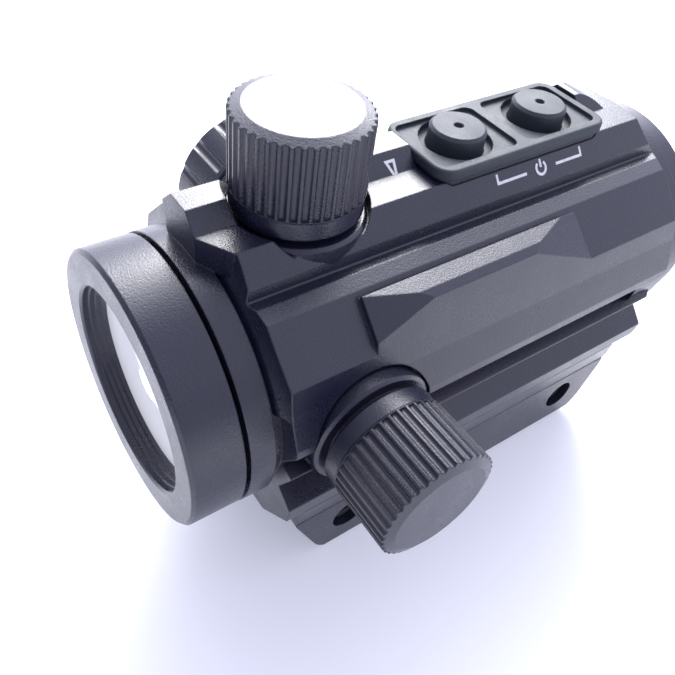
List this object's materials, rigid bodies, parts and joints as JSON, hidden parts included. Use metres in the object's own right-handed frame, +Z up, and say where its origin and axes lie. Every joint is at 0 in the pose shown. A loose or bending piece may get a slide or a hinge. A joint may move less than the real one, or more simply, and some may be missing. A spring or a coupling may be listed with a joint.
{
  "type": "rail-mount red dot sight",
  "caption": "Closed-tube electronic red dot sight with capped adjusters, a battery cap, a brightness keypad and a clamp for an accessory rail.",
  "frame": {"origin": "centre of the seat that rests on the rail's top face", "axes": "+Z up from the rail to the tube, +Y along the optical axis towards the eyepiece, +X towards the windage turret"},
  "size_m": [0.0702, 0.0965, 0.0739],
  "materials": {
    "black_anodised": "bead-blasted, black anodised, satin",
    "inner_anodised": "matt black anodised",
    "coated_glass": "polished, faint violet anti-reflection coating",
    "seal_rubber": "smooth black",
    "keypad_rubber": "matt blue-grey silicone",
    "black_steel": "black oxide",
    "bright_steel": "bright",
    "dial_brass": "turned, satin",
    "circuit_board": "green solder mask",
    "moulded_plastic": "moulded black",
    "led_epoxy": "clear red epoxy"
  },
  "bodies": {
    "root": {"main_housing": "black_anodised", "objective_ring": "black_anodised", "objective_lens": "coated_glass", "objective_lock_ring": "inner_anodised", "objective_seal": "seal_rubber", "eyepiece_ring": "black_anodised", "eyepiece_lens": "coated_glass", "eyepiece_lock_ring": "inner_anodised", "eyepiece_seal": "seal_rubber", "elevation_collar": "inner_anodised", "elevation_detent": "bright_steel", "windage_collar": "inner_anodised", "windage_detent": "bright_steel", "tube_return_spring": "bright_steel", "keypad": "keypad_rubber", "control_board": "circuit_board", "down_switch": "moulded_plastic", "up_switch": "moulded_plastic", "battery": "bright_steel", "battery_contact_plate": "bright_steel", "battery_contact_spring": "bright_steel", "rail_base": "black_anodised", "base_screws": "black_steel"},
    "gimbal_ring": {"pivot_ring": "inner_anodised", "pivot_ring_pins": "bright_steel"},
    "sight_tube": {"inner_tube": "inner_anodised", "reflector_lens": "coated_glass", "reflector_lock_ring": "inner_anodised", "tube_pins": "bright_steel", "led_holder": "moulded_plastic", "led_emitter": "led_epoxy"},
    "elevation_cap_seal": {"elevation_cap_oring": "seal_rubber"},
    "elevation_cap": {"elevation_cap": "black_anodised"},
    "elevation_dial": {"elevation_dial": "dial_brass"},
    "elevation_plunger": {"elevation_plunger": "bright_steel"},
    "windage_cap_seal": {"windage_cap_oring": "seal_rubber"},
    "windage_cap": {"windage_cap": "black_anodised"},
    "windage_dial": {"windage_dial": "dial_brass"},
    "windage_plunger": {"windage_plunger": "bright_steel"},
    "battery_cap_seal": {"battery_cap_oring": "seal_rubber"},
    "battery_cap": {"battery_cap": "black_anodised"},
    "brightness_down_button": {"brightness_down_button": "keypad_rubber"},
    "brightness_up_button": {"brightness_up_button": "keypad_rubber"},
    "clamp_jaw": {"clamp_jaw": "black_anodised"},
    "front_clamp_screw": {"front_clamp_screw": "black_steel"},
    "rear_clamp_screw": {"rear_clamp_screw": "black_steel"}
  },
  "joints": [
    {"name": "elevation_cap_lift", "type": "slide", "parent": "root", "child": "elevation_cap_seal", "axis": [0, 0, 1], "range_m": [0, 0.005]},
    {"name": "elevation_cap_turn", "type": "hinge", "parent": "elevation_cap_seal", "child": "elevation_cap", "pos_m": [0, -0.0287, 0.0587], "axis": [0, 0, 1], "range_deg": [0, 1801]},
    {"name": "elevation_plunger_slide", "type": "slide", "parent": "root", "child": "elevation_plunger", "axis": [0, 0, 1], "range_m": [-0.0005, 0.0005]},
    {"name": "elevation_dial_turn", "type": "hinge", "parent": "root", "child": "elevation_dial", "pos_m": [0, -0.0287, 0.0587], "axis": [0, 0, 1], "range_deg": [-361, 361]},
    {"name": "windage_cap_lift", "type": "slide", "parent": "root", "child": "windage_cap_seal", "axis": [1, 0, 0], "range_m": [0, 0.005]},
    {"name": "windage_cap_turn", "type": "hinge", "parent": "windage_cap_seal", "child": "windage_cap", "pos_m": [0.03, -0.0287, 0.0287], "axis": [1, 0, 0], "range_deg": [0, 1801]},
    {"name": "windage_plunger_slide", "type": "slide", "parent": "root", "child": "windage_plunger", "axis": [1, 0, 0], "range_m": [-0.0005, 0.0005]},
    {"name": "windage_dial_turn", "type": "hinge", "parent": "root", "child": "windage_dial", "pos_m": [0.03, -0.0287, 0.0287], "axis": [1, 0, 0], "range_deg": [-361, 361]},
    {"name": "tube_tilt", "type": "hinge", "parent": "root", "child": "gimbal_ring", "pos_m": [0, 0.022, 0.0287], "axis": [1, 0, 0], "range_deg": [-0.57, 0.57], "deforming": ["tube_return_spring"]},
    {"name": "tube_swing", "type": "hinge", "parent": "gimbal_ring", "child": "sight_tube", "pos_m": [0, 0.022, 0.0287], "axis": [0, 0, 1], "range_deg": [-0.57, 0.57]},
    {"name": "battery_cap_lift", "type": "slide", "parent": "root", "child": "battery_cap_seal", "axis": [-1, 0, 0], "range_m": [0, 0.0045]},
    {"name": "battery_cap_turn", "type": "hinge", "parent": "battery_cap_seal", "child": "battery_cap", "pos_m": [-0.03, -0.0171, 0.0315], "axis": [-1, 0, 0], "range_deg": [0, 1621]},
    {"name": "brightness_down_press", "type": "slide", "parent": "root", "child": "brightness_down_button", "axis": [0, 0, -1], "range_m": [0, 0.0006], "stiffness_N_per_m": 600},
    {"name": "brightness_up_press", "type": "slide", "parent": "root", "child": "brightness_up_button", "axis": [0, 0, -1], "range_m": [0, 0.0006], "stiffness_N_per_m": 600},
    {"name": "clamp_jaw_slide", "type": "slide", "parent": "root", "child": "clamp_jaw", "axis": [1, 0, 0], "range_m": [0, 0.0025]},
    {"name": "front_clamp_screw_turn", "type": "hinge", "parent": "clamp_jaw", "child": "front_clamp_screw", "pos_m": [0.018, -0.0257, -0.0012], "axis": [1, 0, 0], "range_deg": [0, 1801]},
    {"name": "rear_clamp_screw_turn", "type": "hinge", "parent": "clamp_jaw", "child": "rear_clamp_screw", "pos_m": [0.018, 0.0257, -0.0012], "axis": [1, 0, 0], "range_deg": [0, 1801]}
  ],
  "couplings": [
    {"joint": "elevation_cap_turn", "follows": "elevation_cap_lift", "rad_per_m": 6283.2},
    {"joint": "elevation_dial_turn", "follows": "elevation_plunger_slide", "rad_per_m": 12566},
    {"joint": "windage_cap_turn", "follows": "windage_cap_lift", "rad_per_m": 6283.2},
    {"joint": "windage_dial_turn", "follows": "windage_plunger_slide", "rad_per_m": 12566},
    {"joint": "tube_tilt", "follows": "elevation_plunger_slide", "rad_per_m": -19.724},
    {"joint": "tube_swing", "follows": "windage_plunger_slide", "rad_per_m": 19.724},
    {"joint": "battery_cap_turn", "follows": "battery_cap_lift", "rad_per_m": 6283.2},
    {"joint": "front_clamp_screw_turn", "follows": "clamp_jaw_slide", "rad_per_m": 12566},
    {"joint": "rear_clamp_screw_turn", "follows": "clamp_jaw_slide", "rad_per_m": 12566}
  ]
}
